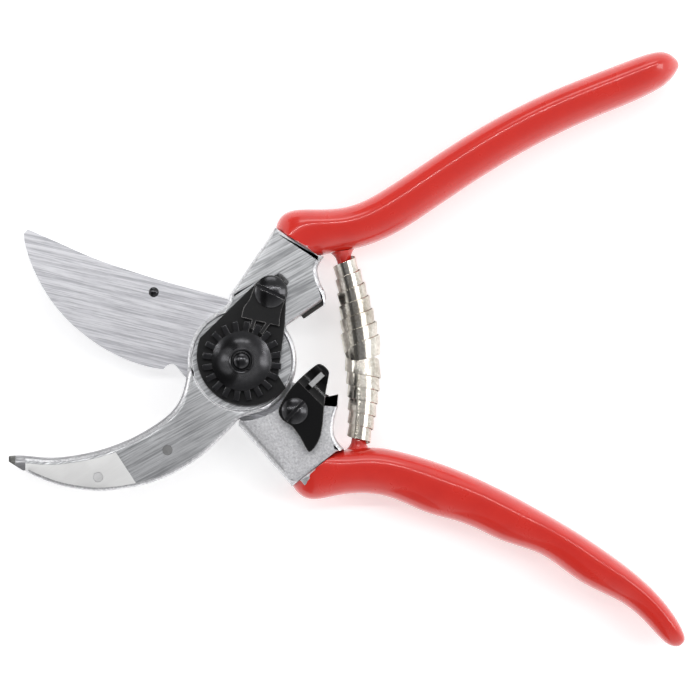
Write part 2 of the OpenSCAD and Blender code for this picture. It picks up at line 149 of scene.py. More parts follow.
# %% The lathe
def turned(name, profile, at, sides=64):
    """Stands a turned solid on the point at (mm). profile is a list of (radius, height)."""
    radius, height = profile[0]
    bpy.ops.object.select_all(action="DESELECT")
    bpy.ops.mesh.primitive_circle_add(vertices=sides, radius=radius * MM, fill_type="NGON",
                                      location=mm(at[0], at[1], at[2] + height))
    obj = bpy.context.object
    obj.name = name
    bpy.ops.object.mode_set(mode="EDIT")
    for (r0, z0), (r1, z1) in zip(profile, profile[1:]):
        bpy.ops.mesh.extrude_region_move(TRANSFORM_OT_translate={"value": (0, 0, (z1 - z0) * MM)})
        bpy.ops.transform.resize(value=(r1 / r0, r1 / r0, 1), center_override=mm(at[0], at[1], at[2] + z1))
    bpy.ops.mesh.select_all(action="SELECT")
    bpy.ops.mesh.normals_make_consistent(inside=False)
    leave()
    only(obj)
    bpy.ops.object.transform_apply(location=True, rotation=True, scale=True)
    return obj


def block(name, size, at, turn=0.0):
    """A box of size (mm) centred on at (mm), turned about Z by turn degrees."""
    bpy.ops.object.select_all(action="DESELECT")
    bpy.ops.mesh.primitive_cube_add(size=1, location=mm(*at), rotation=(0, 0, math.radians(turn)))
    obj = bpy.context.object
    obj.name = name
    obj.scale = mm(*size)
    bpy.ops.object.transform_apply(location=True, rotation=True, scale=True)
    return obj


def cut(obj, tool):
    """Takes the tool's shape away from obj, and the tool with it."""
    modifier(obj, "BOOLEAN", operation="DIFFERENCE", solver="EXACT", object=tool)
    bpy.data.objects.remove(tool)


def weld(obj, others):
    """Joins other pieces into obj."""
    bpy.ops.object.select_all(action="DESELECT")
    for other in others:
        other.select_set(True)
    obj.select_set(True)
    bpy.context.view_layer.objects.active = obj
    bpy.ops.object.join()
    return obj


def place(obj, body, nodes, look, smooth=38):
    """Gives a piece its finish (None keeps its own), smoothing, body and the CAD nodes it stands for."""
    only(obj)
    if look is not None:
        obj.data.materials.clear()
        obj.data.materials.append(look)
    bpy.ops.object.shade_smooth_by_angle(angle=math.radians(smooth))
    modifier(obj, "WEIGHTED_NORMAL", weight=100, keep_sharp=True)
    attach(obj, body)
    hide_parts(*nodes)
    print(obj.name, "on", body, "-", len(obj.data.polygons), "faces")


# %% [markdown]
# ## Shared effects
# Brushing, tumbling grain and rubbed edges with a painted edge highlight show on several finishes, so each is
# one node group.
# A group only puts out masks and values that change over the surface; shaders stay in the
# materials. All patterns read Object coordinates in metres, so they are at real scale.


# %% Node helpers
def group(name, inputs, outputs):
    """A node group with named float inputs (name, default) and float outputs."""
    tree = bpy.data.node_groups.new(name, "ShaderNodeTree")
    for title, default in inputs:
        socket = tree.interface.new_socket(title, in_out="INPUT", socket_type="NodeSocketFloat")
        socket.default_value = default
    for title in outputs:
        tree.interface.new_socket(title, in_out="OUTPUT", socket_type="NodeSocketFloat")
    return tree, tree.nodes.new("NodeGroupInput"), tree.nodes.new("NodeGroupOutput")


def node(tree, kind, links=(), **values):
    """One node with its values; links is a list of (input name or number, source socket)."""
    made = tree.nodes.new(kind)
    for name, value in values.items():
        setattr(made, name, value)
    for target, source in links:
        if isinstance(source, bpy.types.NodeSocket):
            tree.links.new(source, made.inputs[target])
        else:
            made.inputs[target].default_value = source
    return made


def math_node(tree, operation, a, b=0.0, clamp=False):
    return node(tree, "ShaderNodeMath", [(0, a), (1, b)], operation=operation,
                use_clamp=clamp).outputs[0]


# %% Brush lines, grain, rubbed edges with painted highlight
def make_brush_lines():
    tree, given, out = group("Brush lines", [("Angle", 0.0), ("Fineness", 2600.0)], ["Lines"])
    place_at = node(tree, "ShaderNodeTexCoord").outputs["Object"]
    turned_to = node(tree, "ShaderNodeVectorRotate", [("Vector", place_at),
                     ("Angle", given.outputs["Angle"])], rotation_type="Z_AXIS").outputs[0]
    parts = node(tree, "ShaderNodeSeparateXYZ", [(0, turned_to)])
    sums = []
    for along, across, weight in ((0.035, 1.0, 0.55), (0.012, 0.36, 0.3), (0.2, 1.9, 0.15)):
        fine_x = math_node(tree, "MULTIPLY", given.outputs["Fineness"], along)
        fine_y = math_node(tree, "MULTIPLY", given.outputs["Fineness"], across)
        stretched = node(tree, "ShaderNodeCombineXYZ", [
            ("X", math_node(tree, "MULTIPLY", parts.outputs["X"], fine_x)),
            ("Y", math_node(tree, "MULTIPLY", parts.outputs["Y"], fine_y)),
            ("Z", math_node(tree, "MULTIPLY", parts.outputs["Z"], fine_y))])
        noise = node(tree, "ShaderNodeTexNoise", [("Vector", stretched.outputs[0]), ("Scale", 1.0),
                     ("Detail", 2.0)])
        sums.append(math_node(tree, "MULTIPLY", noise.outputs["Fac"], weight))
    total = math_node(tree, "ADD", math_node(tree, "ADD", sums[0], sums[1]), sums[2])
    spread = node(tree, "ShaderNodeMapRange", [("Value", total), ("From Min", 0.40), ("From Max", 0.60)])
    tree.links.new(spread.outputs[0], out.inputs["Lines"])
    return tree


def make_grain():
    tree, given, out = group("Tumbled grain", [("Fineness", 1600.0)], ["Grain", "Patches"])
    place_at = node(tree, "ShaderNodeTexCoord").outputs["Object"]
    fine = node(tree, "ShaderNodeTexNoise", [("Vector", place_at), ("Scale", given.outputs["Fineness"]),
                ("Detail", 3.0), ("Roughness", 0.7)])
    spread = node(tree, "ShaderNodeMapRange", [("Value", fine.outputs["Fac"]), ("From Min", 0.32),
                  ("From Max", 0.68)])
    broad = node(tree, "ShaderNodeTexNoise", [("Vector", place_at), ("Scale", 130.0), ("Detail", 3.0)])
    broad_spread = node(tree, "ShaderNodeMapRange", [("Value", broad.outputs["Fac"]), ("From Min", 0.3),
                        ("From Max", 0.7)])
    tree.links.new(spread.outputs[0], out.inputs["Grain"])
    tree.links.new(broad_spread.outputs[0], out.inputs["Patches"])
    return tree


# Edges are found where the rounded normal parts from the true one; the mask makes them bright, partly rubbed
# metal, partly a painted highlight along every edge.
def make_rubbed_and_highlit_edges():
    tree, given, out = group("Rubbed edges and painted highlight", [("Width", 0.0004), ("Amount", 4.0)], ["Wear"])
    rounded = node(tree, "ShaderNodeBevel", [("Radius", given.outputs["Width"])], samples=6)
    straight = node(tree, "ShaderNodeNewGeometry")
    same = node(tree, "ShaderNodeVectorMath", [(0, rounded.outputs[0]),
                (1, straight.outputs["Normal"])], operation="DOT_PRODUCT")
    bent = math_node(tree, "SUBTRACT", 1.0, same.outputs["Value"])
    strong = math_node(tree, "MULTIPLY", bent, given.outputs["Amount"])
    place_at = node(tree, "ShaderNodeTexCoord").outputs["Object"]
    chips = node(tree, "ShaderNodeTexNoise", [("Vector", place_at), ("Scale", 500.0), ("Detail", 4.0)])
    uneven = node(tree, "ShaderNodeMapRange", [("Value", chips.outputs["Fac"]), ("From Min", 0.3),
                  ("From Max", 0.6)])
    rub_and_highlight = math_node(tree, "MULTIPLY", strong, uneven.outputs[0], clamp=True)
    tree.links.new(rub_and_highlight, out.inputs["Wear"])
    return tree


BRUSH, GRAIN, EDGE_RUB_AND_HIGHLIGHT = make_brush_lines(), make_grain(), make_rubbed_and_highlit_edges()
print("node groups:", [g.name for g in bpy.data.node_groups])


# %% [markdown]
# ## The finishes
# The shears show brushed and tumbled aluminium, several ground steels, nickel strip, black oxide
# and black lacquer, red dip coat and rubber. `finish` builds the part that they share: a colour and
# a roughness that both follow a mask, and a fine bump.


# %% Material helper
def placed_group(tree, source, **values):
    made = node(tree, "ShaderNodeGroup", node_tree=source)
    for name, value in values.items():
        made.inputs[name].default_value = value
    return made


def mix_colour(tree, factor, a, b):
    mix = node(tree, "ShaderNodeMix", [(0, factor)], data_type="RGBA")
    for socket, colour in ((mix.inputs[6], a), (mix.inputs[7], b)):
        if isinstance(colour, bpy.types.NodeSocket):
            tree.links.new(colour, socket)
        else:
            socket.default_value = (*colour, 1)
    return mix.outputs[2]


def finish(name, metallic, mask_of, dark, light, rough, bump, **extra):
    """mask_of(tree) gives the mask; dark, light and rough are the ends it runs between."""
    made = bpy.data.materials.new(name)
    made.use_nodes = True
    tree = made.node_tree
    shader = tree.nodes["Principled BSDF"]
    mask = mask_of(tree)
    tree.links.new(mix_colour(tree, mask, dark, light), shader.inputs["Base Color"])
    shine = node(tree, "ShaderNodeMapRange", [("Value", mask), ("To Min", rough[0]), ("To Max", rough[1])])
    tree.links.new(shine.outputs[0], shader.inputs["Roughness"])
    depth = node(tree, "ShaderNodeBump", [("Height", mask), ("Strength", bump[0]), ("Distance", bump[1] * MM)])
    tree.links.new(depth.outputs[0], shader.inputs["Normal"])
    shader.inputs["Metallic"].default_value = metallic
    for title, value in extra.items():
        shader.inputs[title.replace("_", " ")].default_value = value
    made.diffuse_color = (*light, 1)
    return made


def brushed(angle, fineness=2600.0):
    def mask_of(tree):
        lines = placed_group(tree, BRUSH, Angle=math.radians(-angle), Fineness=fineness)
        patches = placed_group(tree, GRAIN).outputs["Patches"]
        shade = math_node(tree, "MULTIPLY", patches, 0.16)
        return math_node(tree, "ADD", math_node(tree, "MULTIPLY", lines.outputs[0], 0.84), shade)
    return mask_of


def grained(fineness, fine_share):
    def mask_of(tree):
        grain = placed_group(tree, GRAIN, Fineness=fineness)
        fine = math_node(tree, "MULTIPLY", grain.outputs["Grain"], fine_share)
        broad = math_node(tree, "MULTIPLY", grain.outputs["Patches"], 1 - fine_share)
        return math_node(tree, "ADD", fine, broad)
    return mask_of


# %% Metals
BRUSHED_HEAD = finish("Brushed aluminium", 1.0, brushed(29, 2000.0), (0.27, 0.275, 0.285),
                      (0.80, 0.81, 0.82), (0.44, 0.30), (0.4, 0.02))
TUMBLED = finish("Tumbled aluminium", 1.0, grained(1500.0, 0.7), (0.44, 0.44, 0.46), (0.94, 0.94, 0.95),
                 (0.52, 0.36), (0.6, 0.04))
BLADE_STEEL = finish("Ground blade steel", 1.0, brushed(-13, 2500.0), (0.46, 0.46, 0.49),
                     (0.88, 0.88, 0.91), (0.48, 0.36), (0.35, 0.02))
ANVIL_STEEL = finish("Anvil steel", 1.0, brushed(20, 1500.0), (0.26, 0.26, 0.27), (0.46, 0.46, 0.47),
                     (0.45, 0.30), (0.3, 0.02))
HONED = finish("Honed facet", 1.0, brushed(35, 900.0), (0.93, 0.93, 0.92), (1.0, 1.0, 0.99),
               (0.55, 0.45), (0.15, 0.01))
TIP_STEEL = finish("Tip steel", 1.0, grained(700.0, 0.5), (0.12, 0.12, 0.115), (0.22, 0.22, 0.21),
                   (0.5, 0.35), (0.3, 0.02))
NICKEL = finish("Nickel strip", 1.0, grained(1200.0, 0.45), (0.34, 0.30, 0.24), (0.88, 0.85, 0.78),
                (0.26, 0.13), (0.6, 0.03))


# %% [markdown]
# Black oxide is a thin skin on steel: satin, a little blue-grey, and rubbed bright where an edge
# is handled. The edge mask paints the edges light grey: partly steel rubbed bare, partly a painted
# highlight. The nut and the screws are darkened steel that still shines as metal, and the catch is lacquered.


# %% Black oxide, dip coat and rubber
def make_black(name, metallic, shades, rub_and_highlight_amount, rough):
    dark, light = ((shade, shade, shade * 1.05) for shade in shades)
    made = finish(name, metallic, grained(900.0, 0.5), dark, light, rough, (0.25, 0.02),
                  Specular_IOR_Level=0.3)
    tree = made.node_tree
    shader = tree.nodes["Principled BSDF"]
    under = shader.inputs["Base Color"].links[0].from_socket
    # Edges turn light grey: rubbed steel and a painted highlight together.
    rub_and_highlight_mask = placed_group(tree, EDGE_RUB_AND_HIGHLIGHT, Width=0.0004, Amount=rub_and_highlight_amount)
    tree.links.new(mix_colour(tree, rub_and_highlight_mask.outputs[0], under, (0.42, 0.41, 0.40)), shader.inputs["Base Color"])
    return made


BLACK = make_black("Black oxide", 0.0, (0.005, 0.012), 2.2, (0.36, 0.28))
BLACK_RUBBED_AND_HIGHLIT = make_black("Black oxide, rubbed edges and painted highlight", 0.0, (0.005, 0.012), 6.0, (0.36, 0.28))
BLACK_SATIN = make_black("Black satin steel", 1.0, (0.035, 0.075), 1.0, (0.26, 0.17))
BLACK_GLOSS = make_black("Black lacquered steel", 0.0, (0.003, 0.006), 4.0, (0.2, 0.14))
# Bright steel that paints the highlight on the catch's rib.
RIB_HIGHLIGHT_STEEL = finish("Bare steel, painted rib highlight", 1.0, grained(1500.0, 0.5), (0.45, 0.45, 0.45), (0.85, 0.85, 0.85),
                    (0.36, 0.26), (0.4, 0.02))
RED = finish("Red dip coat", 0.0, grained(260.0, 0.25), (0.66, 0.018, 0.010), (0.72, 0.026, 0.015),
             (0.34, 0.26), (0.10, 0.05), Coat_Weight=0.7, Coat_Roughness=0.04)
RUBBER = finish("Black rubber", 0.0, grained(1400.0, 0.6), (0.012, 0.011, 0.010), (0.035, 0.032, 0.03),
                (0.75, 0.6), (0.4, 0.04))
print("materials:", len(bpy.data.materials))

# %% [markdown]
# ## The anvil half's forging
# Ring, hook and head are one aluminium forging. Its flat face is brushed after forging and its
# rims are rounded. The shape comes from the CAD node, cut off just inside the coat's mouth, where
# nobody sees it, and the rims are bevelled in groups, because the hook's inner rim is much wider
# than the others.

# %% Coat mouths
UPPER_MOUTH = ((9.2, 36.9), (21.0, 29.2))
LOWER_MOUTH = ((26.0, -25.2), (13.8, -34.7))
HANDLE_Z = 10.2
HANDLE_THICK = 17.6
CORE_SET_BACK = 2.0


def cut_inside(obj, mouth, depth):
    """Cuts the core away depth mm inside a coat's mouth and closes the cut."""
    a, b = Vector((*mouth[0], 0)), Vector((*mouth[1], 0))
    across = (a - b).normalized()
    into = Vector((across.y, -across.x, 0))
    edit(obj)
    bpy.ops.mesh.select_all(action="SELECT")
    bpy.ops.mesh.bisect(plane_co=((a + b) / 2 + into * depth) * MM, plane_no=into, use_fill=True,
                        clear_outer=True)
    leave()


def rounded(obj, test, width, segments=3):
    """Bevels the edges that pass the test."""
    edit(obj)
    picked = edges(obj, test)
    bpy.ops.mesh.bevel(offset=width * MM, segments=segments, profile=0.5, affect="EDGES",
                       clamp_overlap=False)
    leave()
    print(obj.name, "-", picked, "edges rounded by", width, "mm")


# %% Anvil forging
FACET_RIVET = (-39.8, -32.2)
PLAIN_RIVET = (-20.6, -24.7)
forging = traced("anvil_handle", "anvil_forging")
cut_inside(forging, UPPER_MOUTH, CORE_SET_BACK)


def side_of(a, b):
    """(upward normal, sideways normal) of an edge's two faces, or None."""
    if rim(a, b):
        return a, b
    if rim(b, a):
        return b, a
    return None


def outer_rim(region):
    """Edge test: a rim on the face side whose middle and outward normal pass region."""
    def test(middle, a, b):
        pair = side_of(a, b)
        return pair is not None and middle.z > 16 and region(middle, pair[1])
    return test


def near_hole(p):
    return any(math.hypot(p.x - x, p.y - y) < 2.2 for x, y in (FACET_RIVET, PLAIN_RIVET))


def outward(p, n):
    """How far the wall's normal n leads away from the pivot at p."""
    return n.x * p.x + n.y * p.y


rounded(forging, outer_rim(lambda p, n: p.x < -14 and p.y < -3 and p.x > -64 and n.y > 0.05
                           and n.x < 0.9 and not near_hole(p)), 1.9, 4)
rounded(forging, outer_rim(lambda p, n: p.x > -60 and p.x < 6 and p.y < -12 and n.y < -0.2
                           and not near_hole(p) and p.length > 23), 1.0, 3)
rounded(forging, outer_rim(lambda p, n: -13 < p.x < 12 and p.y > 11 and n.x < -0.2
                           and math.hypot(p.x, p.y) > 15.3), 1.2, 4)
rounded(forging, outer_rim(lambda p, n: p.x > 12 and p.y > 12 and n.x > 0.2), 1.2, 3)
rounded(forging, outer_rim(lambda p, n: 14.7 < math.hypot(p.x, p.y) < 15.25
                           and outward(p, n) > 10), 0.9, 3)
rounded(forging, outer_rim(lambda p, n: 13.6 < math.hypot(p.x, p.y) < 14.0
                           and outward(p, n) < -8), 0.3, 2)

# %% Where each finish goes on the forging
SIDES, FACE, BAND, FACET, TIP = range(5)
TIP_X = -62.8
BAND_X = -60.0
forging.data.materials.clear()
for finish_here in (TUMBLED, BRUSHED_HEAD, ANVIL_STEEL, HONED, TIP_STEEL):
    forging.data.materials.append(finish_here)


def split_at(obj, x):
    """Adds a line of edges across the piece at x (mm), so that a finish can end there."""
    edit(obj)
    bpy.ops.mesh.select_all(action="SELECT")
    bpy.ops.mesh.bisect(plane_co=mm(x, 0, 0), plane_no=(1, 0, 0))
    leave()


split_at(forging, TIP_X)
split_at(forging, BAND_X)
for face in forging.data.polygons:
    c, n = face.center / MM, face.normal
    if c.x < TIP_X:
        face.material_index = TIP
    elif c.x < BAND_X and c.z > 16:
        face.material_index = BAND
    elif 0.995 < n.z < 0.99985 and c.x < -27 and c.z > 17:
        face.material_index = FACET
    elif c.x < -14 and c.y < -3 and n.y > 0.1 and n.z < 0.72 and c.z > 14.4:
        face.material_index = BAND
    elif n.z > 0.97 and c.z > 16:
        face.material_index = FACE
    else:
        face.material_index = SIDES
place(forging, "anvil_half", ["anvil_handle"], None, 30)

# %% [markdown]
# ## Steel anvil blade, rivets and stop strip
# A steel blade is riveted behind the hook. It follows the hook's inner line, so it keeps the CAD
# shape with its edges eased. The rivets are turned pins, ground flush with the hook.

# %% Anvil blade and its rivets
anvil = traced("anvil_blade", "anvil_steel")
ease(anvil, 0.2, 2)
place(anvil, "anvil_half", ["anvil_blade"], ANVIL_STEEL)

RIVET_Z = 11.5
rivet_facet = turned("rivet_at_facet", [(1.4, 0), (1.4, 6.28), (1.3, 6.38)], (*FACET_RIVET, RIVET_Z), 40)
rivet_plain = turned("rivet_plain", [(1.4, 0), (1.4, 6.94), (1.3, 7.04)], (*PLAIN_RIVET, RIVET_Z), 40)
RIVET_DARK = finish("Rivet steel", 1.0, grained(1100.0, 0.6), (0.20, 0.20, 0.20), (0.34, 0.34, 0.34),
                    (0.5, 0.4), (0.3, 0.02))
RIVET_LIGHT = finish("Ground rivet steel", 1.0, brushed(35, 1500.0), (0.66, 0.66, 0.66),
                     (0.86, 0.86, 0.86), (0.5, 0.4), (0.3, 0.02))
rivet_plain.data.materials.append(RIVET_DARK)
rivet_facet.data.materials.append(RIVET_LIGHT)
weld(rivet_plain, [rivet_facet])
rivet_plain.name = "anvil_rivet_pair"
place(rivet_plain, "anvil_half", ["anvil_rivets"], None)

stop = traced("stop_strip", "stop_strip_pad")
ease(stop, 0.2, 2)
place(stop, "anvil_half", ["stop_strip"], RUBBER)

# %% [markdown]
# ## The cutting half's forging
# The neck is tumbled, not brushed, so it looks sandy. Its long left rim is rounded by about 2 mm.

# %% Cutting half's forging
neck = traced("blade_handle", "cutting_forging")
cut_inside(neck, LOWER_MOUTH, CORE_SET_BACK)
rounded(neck, outer_rim(lambda p, n: p.y < -15 and n.x < -0.2 and n.y < 0 and p.x < 15), 1.9, 4)
rounded(neck, outer_rim(lambda p, n: p.x > 18 and n.x > 0.2), 1.0, 3)
ease(neck, 0.3, 2, 40)
place(neck, "cutting_half", ["blade_handle"], TUMBLED, 32)

# %% [markdown]
# ## Cutting blade
# The blade is ground from plate, so its two faces are flat and parallel. It keeps the walls of the
# CAD shape. Each flat face is closed again as one face on its own outline, and the holes are
# drilled anew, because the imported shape's flat faces have folds in them.

# %% Cutting blade
BLADE_LOW = 8.0
BLADE_TOP = 11.4
SMALL_HOLE_AT = (-24.7, 19.1)
SMALL_HOLE_RADIUS = 1.4
BLADE_HOLES = ((0, 0, 5.04), (*SMALL_HOLE_AT, SMALL_HOLE_RADIUS), (10.25, -17.75, 1.8))
LEVEL_GAP = 0.01


def bare_walls(obj, holes):
    """Takes off the flat faces, and the walls of the holes (x, y, radius in mm)."""
    bpy.context.tool_settings.mesh_select_mode = (False, False, True)
    for face in obj.data.polygons:
        c = face.center / MM
        face.select = (abs(face.normal.z) > 0.999
                       or any(math.hypot(c.x - x, c.y - y) < r + 0.3 for x, y, r in holes))
    only(obj)
    bpy.ops.object.mode_set(mode="EDIT")
    bpy.ops.mesh.delete(type="FACE")
    leave()


def capped(obj, level):
    """Closes the outline at height level (mm) with one face."""
    bpy.context.tool_settings.mesh_select_mode = (True, False, False)
    for item in list(obj.data.edges) + list(obj.data.polygons):
        item.select = False
    for vertex in obj.data.vertices:
        vertex.select = abs(vertex.co.z / MM - level) < LEVEL_GAP
    only(obj)
    bpy.ops.object.mode_set(mode="EDIT")
    bpy.ops.mesh.edge_face_add()
    bpy.ops.mesh.select_all(action="SELECT")
    bpy.ops.mesh.normals_make_consistent(inside=False)
    leave()
    area = sum(face.area for face in obj.data.polygons if abs(face.center.z / MM - level) < LEVEL_GAP)
    print(obj.name, "- closed at", level, "mm, area", round(area / MM / MM), "mm2")


blade = traced("cutting_blade", "blade_steel")
bare_walls(blade, BLADE_HOLES)
for blade_level in (BLADE_TOP, BLADE_LOW):
    capped(blade, blade_level)
for hole_x, hole_y, hole_r in BLADE_HOLES:
    cut(blade, turned("hole", [(hole_r, 0), (hole_r, 8)], (hole_x, hole_y, 6), 48))
ease(blade, 0.12, 2, 40)
place(blade, "cutting_half", ["cutting_blade"], BLADE_STEEL, 25)

# A black domed plug fills the small hole: a dark piece that stands for the shade inside the hole.
hole_shade_plug = turned("blade_hole_shade_plug", [(1.4, 0), (1.4, 3.4), (1.32, 3.56), (0.95, 3.8), (0.5, 3.92), (0.1, 3.96)],
             (*SMALL_HOLE_AT, BLADE_LOW), 40)
place(hole_shade_plug, "cutting_half", ["blade_pin"], BLACK_SATIN)

cushion = traced("stop_cushion", "stop_cushion_block")
ease(cushion, 0.3, 3)
place(cushion, "cutting_half", ["stop_cushion"], RUBBER)

back_screw = traced("blade_screw", "tang_screw")
ease(back_screw, 0.15, 2)
place(back_screw, "cutting_half", ["blade_screw"], BLACK)

# %% [markdown]
# ## Lock plate and toothed segment
# Both are blanked from sheet and blackened: the plate fills the recess, and the segment's two
# teeth hold the nut. Blanking leaves a soft edge, which the edge mask makes bright: partly rubbed
# metal, partly a painted highlight, strongest on the segment.

# %% Lock plate and segment
plate = traced("lock_plate", "lock_plate_blank")
ease(plate, 0.22, 3)
place(plate, "anvil_half", ["lock_plate"], BLACK)

segment = traced("toothed_segment", "nut_segment")
ease(segment, 0.22, 3)
# The segment's edges carry the strongest painted highlight along with the rubbing.
place(segment, "anvil_half", ["toothed_segment"], BLACK_RUBBED_AND_HIGHLIT)


# %% [markdown]
# ## Screws
# A slotted screw is turned with a domed head, then a slot is cut across it. The dome is an arc:
# for a head of radius r that rises by h, the ball has the radius (r² + h²) / 2h.


# %% Slotted screws
def dome(radius, rim_height, rise, steps=7):
    """Profile of a domed head that stands on height 0."""
    ball = (radius * radius + rise * rise) / (2 * rise)
    profile = [(radius * 0.97, 0.0), (radius, 0.12), (radius, rim_height)]
    full = math.asin(radius / ball)
    for i in range(1, steps):
        angle = full * (1 - i / steps)
        profile.append((ball * math.sin(angle), rim_height + rise - ball * (1 - math.cos(angle))))
    profile.append((0.05, rim_height + rise))
    return profile


def slotted_screw(name, radius, rim_height, rise, at, shank_radius, shank_bottom, slot_turn):
    screw = turned(name, dome(radius, rim_height, rise), at)
    slot_at = (at[0], at[1], at[2] + rim_height * 0.6 + 2.5)
    slot = block("slot", (2 * radius + 2, 0.95, 5), slot_at, slot_turn)
    cut(screw, slot)
    ease(screw, 0.09, 2, 50)
    shank = turned("shank", [(shank_radius, shank_bottom - at[2]), (shank_radius, 0.02)], at, 40)
    return weld(screw, [shank])


CATCH_AT = (14.7, -13.8)
FACE_Z = 18.5
segment_screw = slotted_screw("segment_screw_turned", 4.4, 0.9, 1.2, (8.05, 19.1, 21.6), 2.0, 12.5, -25)
place(segment_screw, "anvil_half", ["segment_screw"], BLACK_SATIN, 30)
catch_screw = slotted_screw("catch_screw_turned", 3.6, 0.8, 1.1, (*CATCH_AT, 22.6), 1.85, 11.5, 46)
place(catch_screw, "cutting_half", ["catch_screw"], BLACK_SATIN, 30)

washer = turned("catch_washer_ring", [(3.55, 0), (3.6, 0.06), (3.6, 0.34), (3.55, 0.4)], (*CATCH_AT, FACE_Z))
place(washer, "cutting_half", ["catch_washer"], NICKEL)

# %% [markdown]
# ## Centre bolt and centre nut
# The nut is turned with a concave cone up to a raised boss, and its twenty teeth are milled. Every
# tooth is the same bevelled block, made at the right-hand side and turned to its place.

# %% Centre bolt
bolt = turned("pivot_bolt", [(7.4, 0), (8.0, 0.6), (8.0, 2.1), (7.9, 2.2), (5.0, 2.21), (5.0, 17.7),
                             (3.28, 17.71), (3.28, 22.9), (2.75, 23.3), (2.45, 23.32), (2.35, 23.75),
                             (1.9, 24.2), (1.2, 24.48), (0.5, 24.58), (0.05, 24.6)], (0, 0, 0))
place(bolt, "anvil_half", ["centre_bolt"], BLACK_SATIN, 32)

# %% Centre nut
NUT_Z = 19.2
TEETH = 20
FIRST_TOOTH = 10
nut = turned("pivot_nut", [(8.1, 0), (8.35, 0.15), (8.35, 2.3), (8.2, 2.6), (7.75, 2.72), (7.2, 2.86),
                           (6.5, 3.08), (5.8, 3.36), (5.1, 3.74), (4.5, 4.18), (4.0, 4.62), (3.75, 4.86),
                           (3.55, 5.0), (3.3, 5.02), (3.05, 4.9), (2.95, 4.6), (2.9, 3.9)], (0, 0, NUT_Z), 96)
teeth = []
for step in range(TEETH):
    tooth = block("tooth", (2.9, 1.75, 2.2), (9.55, 0, NUT_Z + 1.1))
    edit(tooth)
    edges(tooth, lambda middle, a, b: middle.x > 10.9 and abs(middle.z - NUT_Z - 1.1) < 0.2)
    bpy.ops.mesh.bevel(offset=0.18 * MM, segments=2, affect="EDGES", clamp_overlap=False)
    edges(tooth, lambda middle, a, b: middle.z > NUT_Z + 2.1)
    bpy.ops.mesh.bevel(offset=0.22 * MM, segments=2, affect="EDGES", clamp_overlap=False)
    bpy.ops.mesh.select_all(action="SELECT")
    bpy.ops.transform.rotate(value=-math.radians(FIRST_TOOTH + 360 / TEETH * step), orient_axis="Z",
                             orient_type="GLOBAL", center_override=(0, 0, 0))
    leave()
    teeth.append(tooth)
weld(nut, teeth)
place(nut, "anvil_half", ["centre_nut"], BLACK_SATIN, 30)

# %% [markdown]
# ## Thumb catch
# The catch is a pressed black lever with a hollow for the thumb. The CAD shape has the hollow and
# the ridge bar in it; here its edges are rounded more, as tumbling leaves them, and the top of the
# bar is painted bright steel as a painted highlight.

# %% Thumb catch
catch = traced("thumb_catch", "thumb_lever")
ease(catch, 0.45, 3, 40)
RIB_TOP = 22.7
RIB_BELOW = -8
for lacquer in (BLACK_GLOSS, RIB_HIGHLIGHT_STEEL):
    catch.data.materials.append(lacquer)
# Faces on top of the rib get bright steel: a painted highlight along the ridge.
for face in catch.data.polygons:
    face.material_index = 1 if face.center.z / MM > RIB_TOP and face.center.y / MM > RIB_BELOW else 0
place(catch, "catch", ["thumb_catch"], None, 50)

# %% [markdown]
# ## Dipped handles
# The handles are dipped in soft plastic, which leaves a smooth glossy skin with a soft ridge along
# the front. A section is shaped once from a circle, and then extruded from station to station; at
# each one it is turned, sized and moved, as a loft is made by hand. A Subdivision Surface modifier
# rounds it off. At the mouth the skin folds back inside, so it has a real thickness there.

# %% Stations of the handles: outer edge or spring side first, then the other edge
UPPER_STATIONS = [
    (9.2, 36.9, 21, 29.2), (9.9, 39.3, 23.2, 29.6), (11.8, 41.4, 25.6, 30), (15.5, 42.3, 27.8, 30.4),
    (21, 42.1, 30, 30.9), (27.5, 42.3, 33.2, 31.6), (33, 44, 38.3, 33.3), (38.5, 47, 44.6, 36.4),
    (46, 51.9, 52.4, 41.7), (55, 58, 61.2, 47.7), (65, 64.4, 70.6, 53.8), (75.5, 70.2, 80.6, 59.6),
    (86, 75.2, 90.6, 64.6), (96.5, 79.3, 100.4, 68.8), (105.5, 82.8, 108.6, 72), (111.5, 85.1, 113.9, 74.6),
    (115.5, 86.2, 117.4, 76.5), (118.6, 85.8, 120, 79.2), (120.6, 84, 121.2, 81.4)]
LOWER_STATIONS = [
    (26, -25.2, 13.8, -34.7), (28.2, -24.7, 15.2, -36.8), (30.6, -24.4, 17.6, -38.6),
    (33.4, -24.1, 21.4, -38.7), (37, -24, 26.6, -37.3), (41.2, -24.6, 33.2, -36.6), (46, -25.8, 40.2, -37.5),
    (51.6, -27.4, 46, -40), (57.4, -29.4, 51.8, -42.7), (63.6, -31.9, 58.6, -44.2), (70, -34.9, 65, -46.4),
    (76.4, -38.2, 70.6, -49.6), (82.6, -41.6, 76.8, -51.6), (88.6, -45, 82.8, -53.4), (94.8, -48.8, 87.8, -56.8),
    (101, -53, 93.4, -61.4), (107, -57.3, 100.4, -64.7), (112.6, -62, 106.6, -67.6), (117.4, -67, 111.6, -72),
    (121, -72, 115.6, -76.6), (122.8, -75.6, 118.6, -79.4), (123.2, -77.4, 121, -79.6)]
PEG_PROFILE = [(3.4, 0), (2.7, 0.8), (2.2, 1.7), (2.0, 2.8), (1.9, 4.6), (1.5, 5.0), (0.1, 5.1)]
PEG_SINK = 2.4
SECTION_SIDES = 32
SECTION_POWER = 2.8
COAT_WALL = 0.9


# %% The section
def section_point(angle, ridge_at, ridge_slope):
    """(across, up) of a rounded box section with a soft ridge along its front."""
    c, s = math.cos(angle), math.sin(angle)
    power = 2 / SECTION_POWER
    across = math.copysign(abs(c) ** power, c)
    up = math.copysign(abs(s) ** power, s)
    if s > 0.01:
        up *= 1 - ridge_slope * abs(across - ridge_at)
    return across, up


